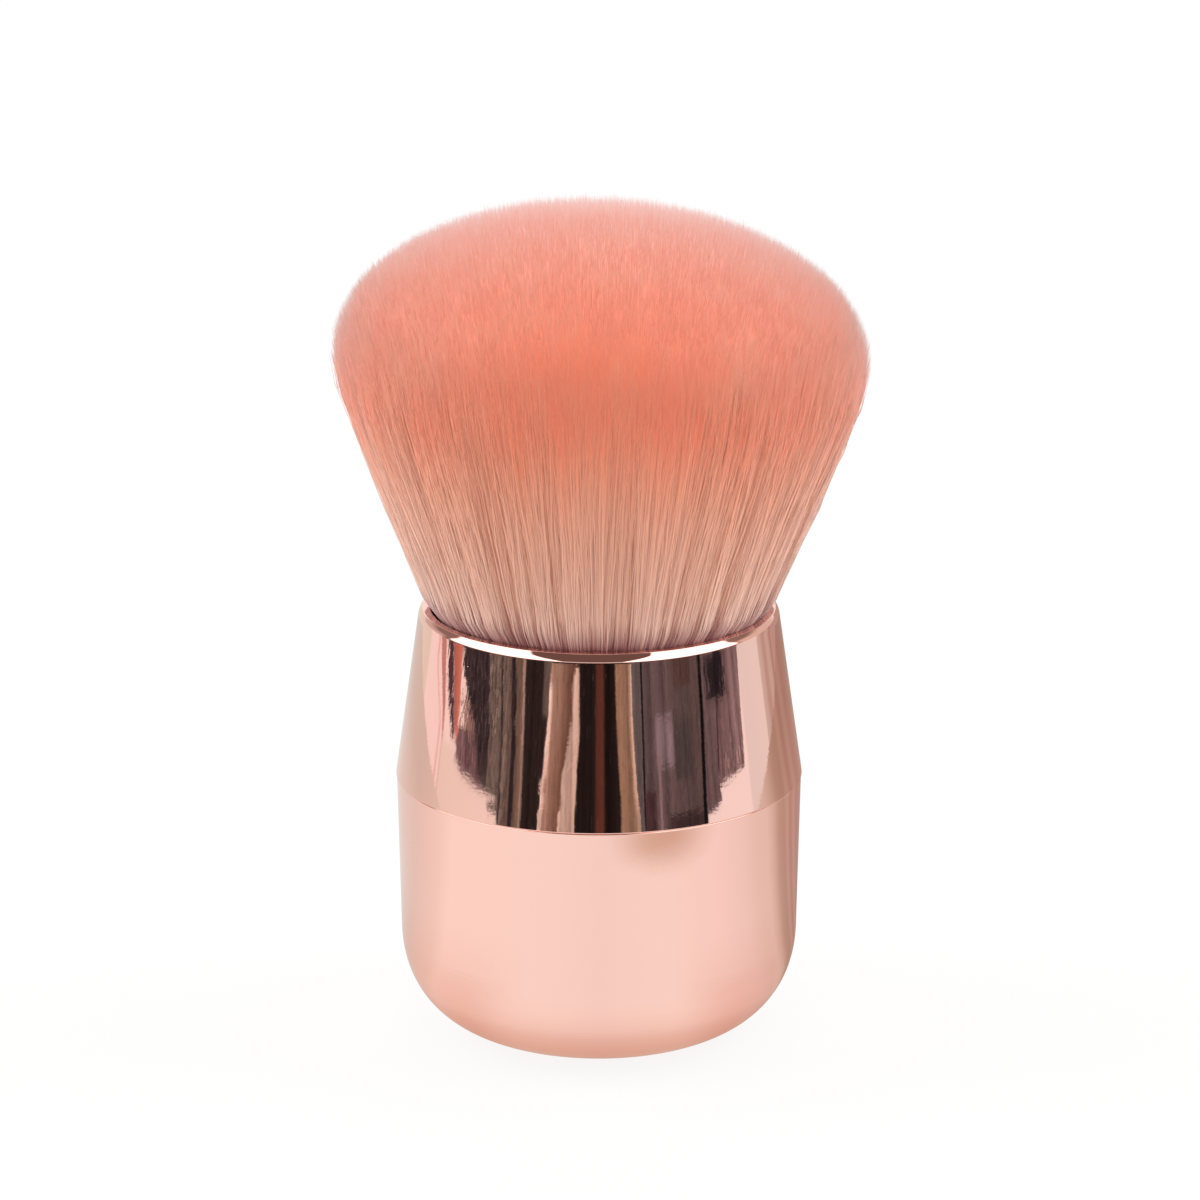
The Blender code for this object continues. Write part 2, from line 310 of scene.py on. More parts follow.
# Ceiling card, a dome of painted reflection over the room, with angles in degrees.
# Its glowing window paints the lip's highlight.
CEILING_RADIUS = 0.3
CEILING_LOW = 4.0
CEILING_COLUMNS = 360
CEILING_ROWS = 86
CEILING_COLOUR = (0.26, 0.19, 0.175)
BEHIND_COLOUR = (1.0, 0.97, 0.96)
BEHIND_AZIMUTHS = (138, 150)
# Brighter than white: a painted highlight on the lip
WINDOW_GLOW = (2.1, 2.1, 2.1)
WINDOW_SIDES = (-105, 95)
WINDOW_LOW = 8
WINDOW_HIGH = 80
WINDOW_SLIT_AZIMUTHS = (-58, -22, 14, 44)
WINDOW_SLIT_TOPS = (52, 9.5, 9.5, 52)
WINDOW_SLIT_END = 51

# Studio light. A lamp is its name, azimuth, elevation and power.
SKY_STRENGTH = 0.7
LAMP_DISTANCE = 1.1
LAMP_SIZE = 1.15
LAMP_TARGET = (0, 0, 0.05)
LAMPS = (("key", -94, 30, 7.2), ("fill", 94, 30, 6.8), ("back", 180, 18, 4.5))

RIM_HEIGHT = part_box("collar")[1].z
ROOT_HEIGHT = RIM_HEIGHT - ROOT_DEPTH
WIDEST_HEIGHT = RIM_HEIGHT + WIDEST_RISE
HEAD_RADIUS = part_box("bristle_tuft")[1].x * HEAD_SHARE
DOME_RISE = (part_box("bristle_tuft")[1].z - WIDEST_HEIGHT) * DOME_SHARE


def smoothstep(low, high, value):
    """A smooth ramp from 0 at low to 1 at high."""
    t = np.clip((value - low) / (high - low), 0, 1)
    return t * t * (3 - 2 * t)


def between(low, high, soft, value):
    """1 from low to high and 0 outside, with a smooth ramp across each end."""
    return smoothstep(low - soft, low + soft, value) * (1 - smoothstep(high - soft, high + soft, value))


def filleted(before, corner, after, radius):
    """Points of the arc that rounds a corner between two straight stretches of an outline."""
    here = Vector(corner)
    back = (Vector(before) - here).normalized()
    ahead = (Vector(after) - here).normalized()
    half_angle = back.angle(ahead) / 2
    centre = here + (back + ahead).normalized() * (radius / math.sin(half_angle))
    start = here + back * (radius / math.tan(half_angle)) - centre
    end = here + ahead * (radius / math.tan(half_angle)) - centre
    spokes = [start.lerp(end, step / FILLET_STEPS).normalized() for step in range(FILLET_STEPS + 1)]
    return [tuple(centre + spoke * radius) for spoke in spokes]


def superellipse_corner(flat, wall, low, height):
    """Points that rise from a flat floor of radius flat to a wall."""
    points = []
    for step in range(CORNER_STEPS + 1):
        turn = math.pi / 2 * step / CORNER_STEPS
        across = math.sin(turn) ** (2 / CORNER_POWER)
        rise = 1 - math.cos(turn) ** (2 / CORNER_POWER)
        points.append((flat + (wall - flat) * across, low + height * rise))
    return points


def braced(outline):
    """The same outline with a point near each end of every long stretch, which keeps its shading flat."""
    points = []
    for here, there in zip(outline, outline[1:] + outline[:1]):
        points.append(here)
        step = Vector(there) - Vector(here)
        if step.length > BRACED_LENGTH and there is not outline[0]:
            points.append(tuple(Vector(here) + step.normalized() * BRACE))
            points.append(tuple(Vector(there) - step.normalized() * BRACE))
    return points


def direction(azimuth, elevation):
    """Directions at azimuths and elevations in degrees."""
    turn, rise = np.radians(azimuth), np.radians(elevation)
    return np.stack([np.sin(turn) * np.cos(rise), -np.cos(turn) * np.cos(rise), np.sin(rise)], axis=-1)


def finished_mesh(name, shape, material):
    """A mesh from a shape that is done with, in one material."""
    mesh = bpy.data.meshes.new(name)
    shape.to_mesh(mesh)
    shape.free()
    mesh.materials.append(material)
    return mesh


def add_object(name, mesh):
    """Links a new object for a mesh."""
    piece = bpy.data.objects.new(name, mesh)
    bpy.context.scene.collection.objects.link(piece)
    return piece


def turned(name, outline, material, steps=HANDLE_STEPS):
    """A piece spun about Z from a closed outline of (radius, height) points."""
    outline = braced(outline)
    shape = bmesh.new()
    verts = [shape.verts.new((radius, 0, height)) for radius, height in outline]
    edges = [shape.edges.new(pair) for pair in zip(verts, verts[1:])]
    if outline[0][0] > 0:
        edges.append(shape.edges.new((verts[-1], verts[0])))
    bmesh.ops.spin(
        shape, geom=verts + edges, cent=(0, 0, 0), axis=(0, 0, 1), angle=2 * math.pi, steps=steps)
    bmesh.ops.remove_doubles(shape, verts=shape.verts, dist=WELD_DISTANCE)
    bmesh.ops.dissolve_degenerate(shape, edges=shape.edges, dist=WELD_DISTANCE)
    bmesh.ops.recalc_face_normals(shape, faces=shape.faces)
    mesh = finished_mesh(name, shape, material)
    mesh.shade_smooth()
    mesh.set_sharp_from_angle(angle=SHARP_ANGLE)
    return add_object(name, mesh)


class Nodes:
    """The nodes of a material or world, fed with outputs, numbers, and colours without alpha."""

    def __init__(self, tree):
        self.tree = tree

    def add(self, kind, **settings):
        """A new node with its settings."""
        node = self.tree.nodes.new("ShaderNode" + kind)
        for setting, value in settings.items():
            setattr(node, setting, value)
        return node

    def feed(self, socket, value):
        """Gives a socket an output or a fixed value."""
        if isinstance(value, bpy.types.NodeSocket):
            self.tree.links.new(value, socket)
        else:
            socket.default_value = (*value, 1) if isinstance(value, tuple) else value

    def fed(self, node, values, result):
        """One output of a node, once values are given to its named or numbered sockets."""
        for socket, value in values.items():
            self.feed(node.inputs[socket], value)
        return node.outputs[result]

    def split(self, vector):
        """A vector's X and Y."""
        node = self.add("SeparateXYZ")
        self.feed(node.inputs["Vector"], vector)
        return node.outputs["X"], node.outputs["Y"]

    def math(self, operation, first, second=0.0):
        """A sum, product or other result of two numbers."""
        return self.fed(self.add("Math", operation=operation), {0: first, 1: second}, "Value")

    def length(self, vector):
        """A vector's length."""
        return self.fed(self.add("VectorMath", operation="LENGTH"), {0: vector}, "Value")

    def product(self, first, second):
        """Two colours multiplied, with no factor and no limit."""
        return self.fed(self.add("VectorMath", operation="MULTIPLY"), {0: first, 1: second}, "Vector")

    def span(self, value, source, target, smooth=False, clamp=True):
        """A number taken from one (low, high) to another."""
        node = self.add("MapRange", interpolation_type="SMOOTHSTEP" if smooth else "LINEAR", clamp=clamp)
        ends = dict(zip(("From Min", "From Max", "To Min", "To Max"), (*source, *target)))
        return self.fed(node, {"Value": value, **ends}, "Result")

    def ramp(self, value, stops):
        """The colour at a value, between (place, colour) stops."""
        node = self.add("ValToRGB")
        elements = node.color_ramp.elements
        while len(elements) < len(stops):
            elements.new(0.5)
        for element, (place, colour) in zip(elements, stops):
            element.position = place
            element.color = (*colour, 1)
        return self.fed(node, {"Fac": value}, "Color")

    def mix(self, factor, first, second, blend="MIX", kind="RGBA"):
        """Two colours, or with kind FLOAT two numbers, mixed by a factor."""
        node = self.add("Mix", data_type=kind, blend_type=blend)
        return self.fed(node, {"Factor": factor, "A": first, "B": second}, "Result")

    def noise(self, place, scale, detail):
        """Noise between 0 and 1."""
        return self.fed(self.add("TexNoise"), {"Vector": place, "Scale": scale, "Detail": detail}, "Fac")

    def bump(self, height, depth, **below):
        """A bump of a depth in metres, on top of another one if that is given as Normal."""
        values = {"Strength": 1.0, "Distance": depth, "Height": height, **below}
        return self.fed(self.add("Bump"), values, "Normal")

    def glow(self, colour):
        """A shader that gives off a colour."""
        return self.fed(self.add("Emission"), {"Color": colour}, "Emission")

    def blend(self, factor, first, second):
        """Two shaders mixed by a factor."""
        return self.fed(self.add("MixShader"), {0: factor, 1: first, 2: second}, "Shader")

    def finish(self, shader):
        """Makes a shader the material's surface."""
        self.feed(self.tree.nodes["Material Output"].inputs["Surface"], shader)


def new_material(name):
    """A material, its nodes, and its Principled shader."""
    material = bpy.data.materials.new(name)
    material.use_nodes = True
    return material, Nodes(material.node_tree), material.node_tree.nodes["Principled BSDF"]


def plating_material(name, roughness):
    """Vacuum plating under clear lacquer: an uneven mirror with a film and some dust on it."""
    material, nodes, shader = new_material(name)
    place = nodes.add("TexCoord").outputs["Object"]
    ripple = nodes.bump(nodes.noise(place, RIPPLE_SCALE, 1), RIPPLE_DEPTH)
    peel = nodes.bump(nodes.noise(place, PEEL_SCALE, 2), PEEL_DEPTH, Normal=ripple)

    cells = nodes.add("TexVoronoi")
    chance = nodes.add("SeparateColor")
    distance = nodes.fed(cells, {"Vector": place, "Scale": DUST_SCALE}, "Distance")
    size = nodes.span(nodes.fed(chance, {"Color": cells.outputs["Color"]}, "Red"), DUST_CHANCE, DUST_SIZE)
    speck = nodes.math("LESS_THAN", distance, size)

    haze = nodes.noise(place, FILM_SCALE, 3)
    film = nodes.span(haze, FILM_NOISE, [roughness * share for share in FILM_SHARES], True)
    dull = nodes.math("MULTIPLY", speck, DUST_ROUGHNESS)
    nodes.fed(shader, {
        "Base Color": nodes.mix(speck, PLATING, DUST_COLOUR),
        "Metallic": nodes.span(speck, (0, 1), (1, DUST_METAL)),
        "Roughness": nodes.math("MAXIMUM", film, dull),
        "Normal": peel,
    }, "BSDF")
    return material


def plain_material(name, colour, metallic, roughness):
    """A moulded or poured surface with a little mottling in colour and gloss."""
    material, nodes, shader = new_material(name)
    mottle = nodes.noise(nodes.add("TexCoord").outputs["Object"], MOTTLE_SCALE, 3)
    shades = [[min(1, part * share) for part in colour] for share in MOTTLE_SHADES]
    nodes.fed(shader, {
        "Base Color": nodes.ramp(mottle, list(zip(MOTTLE_NOISE, shades))),
        "Metallic": metallic,
        "Roughness": nodes.span(mottle, (0, 1), [roughness * share for share in MOTTLE_GLOSS]),
    }, "BSDF")
    return material


def dress(piece, node):
    """Puts a new piece in the place of a CAD node."""
    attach(piece, BODY)
    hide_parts(node)


def collar_outer(height):
    """Outer radius of the collar at a height."""
    low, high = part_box("collar")
    return high.x + (RIM_RADIUS - high.x) * (height - low.z) / (high.z - low.z)


def collar_inner(height):
    """Inner radius of the collar at a height."""
    return collar_outer(height) - COLLAR_WALL


def make_collar():
    """The upper plated shell, with its rounded and bevelled lip and the ledge inside it.

    It has a finer outline than its CAD node, and its place.
    """
    low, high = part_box("collar")
    seam = low.z
    rim = high.z
    ledge = seam + LEDGE_RISE
    ledge_top = ledge + LEDGE_THICKNESS
    bottom_inner = (collar_inner(seam), seam)
    bottom_outer = (collar_outer(seam), seam)
    bevel_low = (collar_outer(rim - LIP_BEVEL_HEIGHT), rim - LIP_BEVEL_HEIGHT)
    bevel_high = (collar_outer(rim) - LIP_BEVEL_WIDTH, rim)
    top_inner = (collar_inner(rim), rim)
    above_ledge = (collar_inner(ledge_top), ledge_top)
    outline = [bottom_inner]
    outline += filleted(bottom_inner, bottom_outer, bevel_low, COLLAR_EDGE_ROUND)
    outline += filleted(bottom_outer, bevel_low, bevel_high, LIP_BEVEL_ROUND)
    outline += filleted(bevel_low, bevel_high, top_inner, LIP_EDGE_ROUND)
    outline += filleted(bevel_high, top_inner, above_ledge, LIP_EDGE_ROUND)
    outline += [above_ledge, (LEDGE_BORE, ledge_top), (LEDGE_BORE, ledge), (collar_inner(ledge), ledge)]
    collar = turned("collar_shell", outline, plating_material("rose_gold_collar", COLLAR_ROUGHNESS))
    dress(collar, "collar")


def make_base():
    """The lower plated shell, whose neck goes up inside the collar.

    It has a finer outline than its CAD node, and its place.
    """
    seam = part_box("collar")[0].z
    cup_low, cup_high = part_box("base_cup")
    shoulder = cup_high.x
    top = seam - SEAM_GAP
    neck_top = cup_high.z
    wall_corner = superellipse_corner(FOOT_RADIUS, shoulder - WALL_TAPER, cup_low.z, CORNER_HEIGHT)
    neck_root = (collar_inner(seam) - NECK_GAP, top)
    neck_edge = (collar_inner(neck_top) - NECK_GAP, neck_top)
    bore = neck_edge[0] - NECK_WALL
    outline = [(0, 0)]
    outline += wall_corner
    outline += filleted(wall_corner[-1], (shoulder, top), neck_root, SHOULDER_ROUND)
    outline += [neck_root, neck_edge, (bore, neck_top)]
    outline += reversed(superellipse_corner(FOOT_RADIUS, bore, FLOOR_THICKNESS, CORNER_HEIGHT))
    outline += [(0, FLOOR_THICKNESS)]
    base = turned("base_shell", outline, plating_material("rose_gold_base", BASE_ROUGHNESS))
    dress(base, "base_cup")


def dress_inner_nodes():
    """The hidden pieces keep their CAD shapes and get their own finishes."""
    for node, finish in INNER_FINISHES.items():
        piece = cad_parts[node]
        piece.data.materials.clear()
        piece.data.materials.append(plain_material(*finish))


def make_glue_face():
    """The top of the cured glue, down inside the collar, where the bristles go in."""
    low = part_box("bristle_tuft")[0].z
    radius = ROOT_REACH + STRAND_RADIUS
    outline = [(0, low), (radius, low), (radius, ROOT_HEIGHT), (0, ROOT_HEIGHT)]
    glue = plain_material(*GLUE_FACE_FINISH)
    dress(turned("glue_face", outline, glue, HIDDEN_STEPS), "bristle_tuft")


def bristle_material():
    """Dyed synthetic filament. The map's V runs from root to tip, and its U holds the tones side by side."""
    material, nodes, shader = new_material("coral_bristle")
    tone, along = nodes.split(nodes.add("UVMap", uv_map="OFBake").outputs["UV"])
    amount = nodes.span(along, DYE_SHIFT_SPAN, DYE_SHIFTS, True)
    shift = nodes.math("MULTIPLY", nodes.math("SUBTRACT", tone, DYE_TONE), amount)
    # The ramp's dark first stops paint the shade at the roots
    dye_and_root_shade = nodes.ramp(nodes.math("ADD", along, shift), DYE_AND_ROOT_SHADE)
    tipped = nodes.mix(nodes.span(along, PALE_SPAN, (0, PALE_SHARE), True), dye_and_root_shade, PALE_TIP)
    calm = nodes.span(along, CALM_SPAN, (0, CALM_SHARE), True)
    # Dark tones shade the colour: random tone, plus painted shade on inner strands and the core
    shade = nodes.ramp(nodes.mix(calm, tone, 1.0, kind="FLOAT"), TONE_AND_GAP_SHADES)
    nodes.fed(shader, {
        "Base Color": nodes.product(tipped, shade),
        "Roughness": BRISTLE_ROUGHNESS,
        "Sheen Weight": 1.0,
        "Sheen Roughness": SHEEN_ROUGHNESS,
        "Sheen Tint": SHEEN_TINT,
    }, "BSDF")
    return material


def tuft_points(share, turn, along):
    """Points of the smooth tuft, from shares of the bundle's radius, turns and shares of the way up."""
    spread = share * np.sqrt(1 + TIP_CROWDING * (1 - share ** 2))
    tip_r = HEAD_RADIUS * spread
    dome = np.maximum(0, 1 - spread ** 2) ** DOME_POWER
    tip_z = WIDEST_HEIGHT + DOME_RISE * dome - DOME_TILT * tip_r * np.cos(turn)
    root_r = ROOT_REACH * share
    bulge = smoothstep(*BULGE_RISE_SPAN, along) * (1 - smoothstep(*BULGE_FALL_SPAN, along))
    radius = root_r + (tip_r - root_r) * (along + SIDE_BULGE * bulge * share ** BULGE_POWER)
    return np.stack(np.broadcast_arrays(
        radius * np.cos(turn) + HEAD_SHIFT * along,
        radius * np.sin(turn),
        ROOT_HEIGHT + (tip_z - ROOT_HEIGHT) * along,
    ), axis=-1)


def tuft_normals(share, turn, along):
    """Directions out of the tuft: sideways low down, then up a little, and off the dome at the tips."""
    spread = share * np.sqrt(1 + TIP_CROWDING * (1 - share ** 2))
    rise = np.sqrt(np.maximum(0, 1 - spread ** 2)) * HEAD_RADIUS / DOME_RISE
    top = smoothstep(*TOP_SPAN, along)
    out = (1 - top) + top * spread
    lift = SIDE_LIFT * smoothstep(*SIDE_LIFT_SPAN, along) * (1 - top) + top * np.maximum(rise, SIDE_LIFT)
    normal = np.stack(np.broadcast_arrays(out * np.cos(turn), out * np.sin(turn), lift), axis=-1)
    return normal / np.linalg.norm(normal, axis=-1, keepdims=True)


def sunflower(count, rng, jitter):
    """Places of a sunflower spiral in a disc of radius 1, each moved a little."""
    index = np.arange(count)
    angle = index * math.pi * (3 - math.sqrt(5))
    reach = np.sqrt((index + 0.5) / count)
    places = np.stack([reach * np.cos(angle), reach * np.sin(angle)], axis=1)
    return places + rng.normal(0, jitter, (count, 2))


def nearest_clumps(flat, count, rng):
    """For every strand, its nearest clump's place, and that clump's pull, tone and lean."""
    centres = sunflower(count, rng, CLUMP_JITTER / math.sqrt(count))
    pull = rng.random(count) ** PULL_POWER
    tone = rng.random(count)
    lean = rng.normal(0, 1, count)
    tree = KDTree(count)
    for number, (x, y) in enumerate(centres):
        tree.insert((x, y, 0), number)
    tree.balance()
    nearest = np.array([tree.find((x, y, 0))[1] for x, y in flat])
    return centres[nearest], pull[nearest], tone[nearest], lean[nearest]


def strand_paths(flat, along, clumps, rng):
    """Points of every strand and where it faces, as arrays of strand, ring and coordinate."""
    count = len(flat)
    along = np.array(along)[None, :]
    lean = rng.normal(0, STRAND_SWING, count)
    lean += sum(amount * clump[3] for amount, clump in zip(CLUMP_SWINGS, clumps))
    swing = lean[:, None] * (along - SWING_PIVOT)
    place = np.stack([
        flat[:, :1] * np.cos(swing) - flat[:, 1:] * np.sin(swing),
        flat[:, :1] * np.sin(swing) + flat[:, 1:] * np.cos(swing),
    ], axis=-1)
    gather = smoothstep(*GATHER_SPAN, along) * (1 - LOOSE_SHARE * smoothstep(*LOOSE_SPAN, along))
    for (centre, pull, _, _), strength in zip(clumps, CLUMP_PULLS):
        place += (centre - flat)[:, None, :] * (gather * strength * pull[:, None])[:, :, None]
    wild = 1 + WILD_EXTRA * (rng.random((count, 1)) < WILD_CHANCE)
    place += rng.normal(0, STRAND_DRIFT, (count, 1, 2)) * along[:, :, None] * wild[:, :, None]

    share = np.minimum(np.hypot(place[..., 0], place[..., 1]), 1)
    turn = np.arctan2(place[..., 1], place[..., 0])
    path = tuft_points(share, turn, along)
    path[..., 2] += rng.normal(0, TIP_UNEVENNESS, (count, 1)) * smoothstep(*TIP_UNEVENNESS_SPAN, along)
    for axis in (0, 1):
        size = rng.normal(0, WAVE_SIZE, (count, 1)) * wild
        waves = rng.uniform(*WAVE_COUNTS, (count, 1))
        phase = rng.uniform(0, 2 * math.pi, (count, 1))
        path[..., axis] += size * np.sin(2 * math.pi * waves * along + phase) * smoothstep(*WAVE_SPAN, along)
    return path, tuft_normals(share, turn, along)


def strand_faces(number, rings):
    """Corner numbers of all strands' quads between rings, and triangles at the point and the root."""
    size = rings * STRAND_SIDES + 1
    first = np.arange(number) * size
    side = np.arange(STRAND_SIDES)
    beside = (side + 1) % STRAND_SIDES
    low = np.arange(rings - 1)[:, None] * STRAND_SIDES
    high = low + STRAND_SIDES
    quad = np.stack([low + side, low + beside, high + beside, high + side], -1)
    last = (rings - 1) * STRAND_SIDES
    point = np.stack([last + side, last + beside, np.full(STRAND_SIDES, size - 1)], -1)
    root = side[::-1][None, :]
    quads = (first[:, None, None] + quad.reshape(1, -1, 4)).reshape(-1, 4)
    triangles = (first[:, None, None] + np.concatenate([point, root])[None]).reshape(-1, 3)
    return quads, triangles


def strand_map(shares, tone):
    """Map places of those faces' corners: U holds the tone and the side, and V the share of the way up."""
    rings = len(shares) - 1
    side = np.arange(STRAND_SIDES)
    width = 1 - 2 * MAP_MARGIN
    left = side / STRAND_SIDES * width + MAP_MARGIN
    right = (side + 1) / STRAND_SIDES * width + MAP_MARGIN
    quad_u = np.broadcast_to(np.stack([left, right, right, left], -1)[None], (rings - 1, STRAND_SIDES, 4))
    quad_v = np.stack([shares[:-2], shares[:-2], shares[1:-1], shares[1:-1]], -1)[:, None, :]
    quad_v = np.broadcast_to(quad_v, (rings - 1, STRAND_SIDES, 4))
    point_u = np.stack([left, right, (left + right) / 2], -1)
    point_v = np.tile([shares[-2], shares[-2], 1.0], (STRAND_SIDES, 1))
    root_u = np.array([[MAP_MARGIN, 0.5, 1 - MAP_MARGIN]])
    root_v = shares[0] + np.array([[0.0, ROOT_MAP_RISE, 0.0]])
    bucket = (np.floor(tone * TONES) / TONES)[:, None, None]
    quad_u = bucket + quad_u.reshape(-1, 4) / TONES
    point_u = bucket + np.concatenate([point_u, root_u]) / TONES
    quad_map = np.stack(np.broadcast_arrays(quad_u, quad_v.reshape(-1, 4)), -1)
    point_map = np.stack(np.broadcast_arrays(point_u, np.concatenate([point_v, root_v])), -1)
    return np.concatenate([quad_map.reshape(-1, 2), point_map.reshape(-1, 2)])


def strand_mesh(name, path, facing, shares, tone, rng):
    """One mesh of closed strands: rings of corners that end in a point, mapped by tone and by share."""
    number, rings = len(path), len(shares) - 1
    shares = np.array(shares)
    thickness = STRAND_RADIUS * (1 - STRAND_TAPER * smoothstep(*STRAND_TAPER_SPAN, shares[:-1]))
    corner = rng.random((number, 1)) * 2 * math.pi + np.arange(STRAND_SIDES) * 2 * math.pi / STRAND_SIDES
    spoke = np.stack([np.cos(corner), np.sin(corner), np.zeros_like(corner)], axis=-1)[:, None]
    places = path[:, :-1, None, :] + spoke * thickness[None, :, None, None]
    normals = facing[:, :-1, None, :] + CORNER_LEAN * spoke
    places = np.concatenate([places.reshape(number, -1, 3), path[:, -1:]], axis=1).reshape(-1, 3)
    normals = np.concatenate([normals.reshape(number, -1, 3), facing[:, -1:]], axis=1).reshape(-1, 3)
    normals /= np.linalg.norm(normals, axis=1, keepdims=True)
    quads, triangles = strand_faces(number, rings)

    mesh = bpy.data.meshes.new(name)
    mesh.vertices.add(len(places))
    mesh.vertices.foreach_set("co", places.astype(np.float32).ravel())
    loops = np.concatenate([quads.ravel(), triangles.ravel()])
    mesh.loops.add(len(loops))
    mesh.loops.foreach_set("vertex_index", loops.astype(np.int32))
    starts = np.concatenate([np.arange(len(quads)) * 4, quads.size + np.arange(len(triangles)) * 3])
    mesh.polygons.add(len(starts))
    mesh.polygons.foreach_set("loop_start", starts.astype(np.int32))
    mesh.update(calc_edges=True)
    mesh.shade_smooth()
    layout = mesh.uv_layers.new(name="OFBake")
    layout.uv.foreach_set("vector", strand_map(shares, tone).astype(np.float32).ravel())
    mesh.normals_split_custom_set_from_vertices(normals)
    return mesh


def core_shade_tone(along):
    """Core tone at a share of the way up: darker low down, as painted shade where it shows between strands.
    """
    low, high = CORE_SHADE_TONES
    return low + (high - low) * float(smoothstep(*CORE_SHADE_SPAN, along))


def core_rings():
    """The core's rings, from root to middle, as shares of the bundle's radius and of the way up."""
    inward = CORE_REACH - CORE_SHOULDER_REACH
    upward = CORE_TOP - CORE_SHOULDER_LOW
    rings = [(CORE_REACH, along) for along in np.linspace(0, CORE_SHOULDER_LOW, CORE_SIDE_RINGS)]
    for bend in np.linspace(0, math.pi / 2, CORE_SHOULDER_RINGS)[1:]:
        reach = CORE_REACH - inward * (1 - math.cos(bend))
        rings.append((reach, CORE_SHOULDER_LOW + upward * math.sin(bend)))
    reaches = np.linspace(CORE_SHOULDER_REACH, 0, CORE_DOME_RINGS, endpoint=False)[1:]
    return rings + [(reach, CORE_TOP) for reach in reaches]


def make_core(material):
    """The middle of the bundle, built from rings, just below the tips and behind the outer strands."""
    turn = np.arange(CORE_TURNS) * 2 * math.pi / CORE_TURNS
    shape = bmesh.new()
    layer = shape.loops.layers.uv.new("OFBake")
    rings = core_rings()
    rows = []
    normals = []
    for share, along in rings:
        at = (np.full(CORE_TURNS, share), turn, np.full(CORE_TURNS, along))
        rows.append([shape.verts.new(point) for point in tuft_points(*at)])
        normals.append(tuft_normals(*at))
    heights = [along for _, along in rings]
    for (low, high), (v_low, v_high) in zip(zip(rows, rows[1:]), zip(heights, heights[1:])):
        for here in range(CORE_TURNS):
            beside = (here + 1) % CORE_TURNS
            face = shape.faces.new((low[here], low[beside], high[beside], high[here]))
            for loop, v in zip(face.loops, (v_low, v_low, v_high, v_high)):
                loop[layer].uv = (core_shade_tone(v), v)
    for row, v in ((rows[0][::-1], 0), (rows[-1], CORE_TOP)):
        for loop in shape.faces.new(row).loops:
            loop[layer].uv = (core_shade_tone(v), v)
    mesh = finished_mesh("bristle_core", shape, material)
    mesh.shade_smooth()
    mesh.normals_split_custom_set_from_vertices(np.concatenate(normals))
    core = add_object("bristle_core", mesh)
    # Filaments pass light on, so the shadow is left to the heart
    core.visible_shadow = False
    dress(core, "bristle_tuft")


def make_heart():
    """The densest middle of the bundle, hidden in the core. Light can't pass it, so it casts the shadow."""
    low, high = HEART_RADII
    outline = [(0, ROOT_HEIGHT), (low, ROOT_HEIGHT), (high, WIDEST_HEIGHT), (0, WIDEST_HEIGHT)]
    heart = turned("bristle_heart", outline, plain_material(*HEART_FINISH), HIDDEN_STEPS)
    dress(heart, "bristle_tuft")


def make_bristles():
    """Fine tapered strands in sectors, each sector one mesh of whole strands or of tips."""
    rng = np.random.default_rng(SEED)
    flat = sunflower(STRAND_COUNT, rng, STRAND_JITTER)
    clumps = [nearest_clumps(flat, count, rng) for count in CLUMP_COUNTS]
    reach = np.hypot(flat[:, 0], flat[:, 1])
    whole = reach > FULL_REACH_SHARE
    own, fine, coarse = TONE_PARTS
    tone = own * rng.random(STRAND_COUNT) + fine * clumps[0][2] + coarse * clumps[1][2]
    tone = np.clip(0.5 + TONE_CONTRAST * (tone - 0.5), 0, HIGHEST_TONE)
    # Painted shade: whole strands further in are darker, as in the gaps between the outer ones
    unshaded = smoothstep(FULL_REACH_SHARE, UNSHADED_REACH, reach)
    tone *= np.where(whole, INNER_SHADE_SHARE + (1 - INNER_SHADE_SHARE) * unshaded, 1)
    turn = np.arctan2(flat[:, 1], flat[:, 0]) / (2 * math.pi) + 0.5
    sector = np.minimum((turn * SECTORS).astype(int), SECTORS - 1)
    material = bristle_material()
    make_core(material)
    for kind, of_kind, shares in (("bristles", whole, FULL_SHARES), ("tips", ~whole, SHORT_SHARES)):
        for number in range(SECTORS):
            chosen = np.flatnonzero(of_kind & (sector == number))
            near = [[part[chosen] for part in clump] for clump in clumps]
            path, facing = strand_paths(flat[chosen], shares, near, rng)
            name = f"{kind}_{number + 1}"
            mesh = strand_mesh(name, path, facing, shares, tone[chosen], rng)
            mesh.materials.append(material)
            piece = add_object(name, mesh)
            # Filaments this fine pass light on
            piece.visible_shadow = False
            dress(piece, "bristle_tuft")


def aim(holder, target, azimuth, elevation, distance):
    """Puts a camera or lamp at a distance from a target and turns it to face it. Angles are in degrees."""
    back = Vector(direction(azimuth, elevation))
    holder.location = Vector(target) + back * distance
    holder.rotation_mode = "QUATERNION"
    holder.rotation_quaternion = (-back).to_track_quat("-Z", "Y")


def make_camera():
    """The camera, at the photograph's viewing angle."""
    camera = bpy.data.cameras.new("camera")
    camera.sensor_width = SENSOR
    camera.lens = SENSOR * FOCAL_PIXELS / FRAME_PIXELS
    camera.clip_start, camera.clip_end = CAMERA_CLIP
    holder = add_object("camera", camera)
    aim(holder, CAMERA_TARGET, 0, CAMERA_ELEVATION, CAMERA_DISTANCE)
    bpy.context.scene.camera = holder


def dark_patch_factor(nodes, azimuth, reach):
    """1 in the middle of an oval on the floor, and 0 outside it."""
    off_centre = nodes.fed(nodes.add("CombineXYZ"), {
        "X": nodes.span(azimuth, DARK_PATCH_AZIMUTHS, (-1, 1), clamp=False),
        "Y": nodes.span(reach, DARK_PATCH_REACHES, (-1, 1), clamp=False),
    }, "Vector")
    return nodes.span(nodes.length(off_centre), DARK_PATCH_FADE, (1, 0), True)


